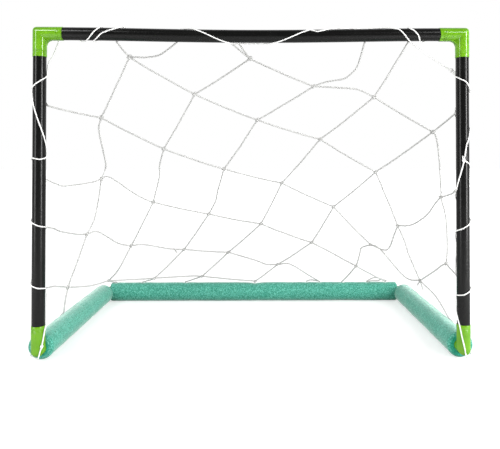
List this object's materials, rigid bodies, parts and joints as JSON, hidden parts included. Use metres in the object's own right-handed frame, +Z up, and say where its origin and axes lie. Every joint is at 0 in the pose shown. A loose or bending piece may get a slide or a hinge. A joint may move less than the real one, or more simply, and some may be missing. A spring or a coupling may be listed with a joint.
{
  "type": "floating pool goal",
  "caption": "Floating pool goal: a black plastic tube frame with lime green corner elbows, teal foam floats round its base and a knotted white twine net.",
  "frame": {"origin": "on the ground, centred under the goal's bounding box", "axes": "+X from the left post to the right post, seen from in front; +Y from the mouth to the back float; +Z up. The mouth faces -Y"},
  "size_m": [0.9458, 0.5392, 0.698],
  "materials": {
    "black_plastic": "satin extruded PVC tube",
    "lime_plastic": "gloss moulded PVC",
    "teal_foam": "closed-cell polyethylene foam with a fine speckle",
    "white_twine": "knotted synthetic twine"
  },
  "bodies": {
    "root": {"crossbar_tube": "black_plastic", "left_post_tube": "black_plastic", "right_post_tube": "black_plastic", "left_base_tube": "black_plastic", "right_base_tube": "black_plastic", "back_base_tube": "black_plastic", "top_left_elbow": "lime_plastic", "top_right_elbow": "lime_plastic", "foot_left_elbow": "lime_plastic", "foot_right_elbow": "lime_plastic", "back_left_elbow": "lime_plastic", "back_right_elbow": "lime_plastic", "left_float": "teal_foam", "right_float": "teal_foam", "back_float": "teal_foam", "net": "white_twine", "crossbar_lacing": "white_twine", "left_post_lacing": "white_twine", "right_post_lacing": "white_twine", "right_post_tie": "white_twine", "border_twine": "white_twine"}
  },
  "joints": []
}
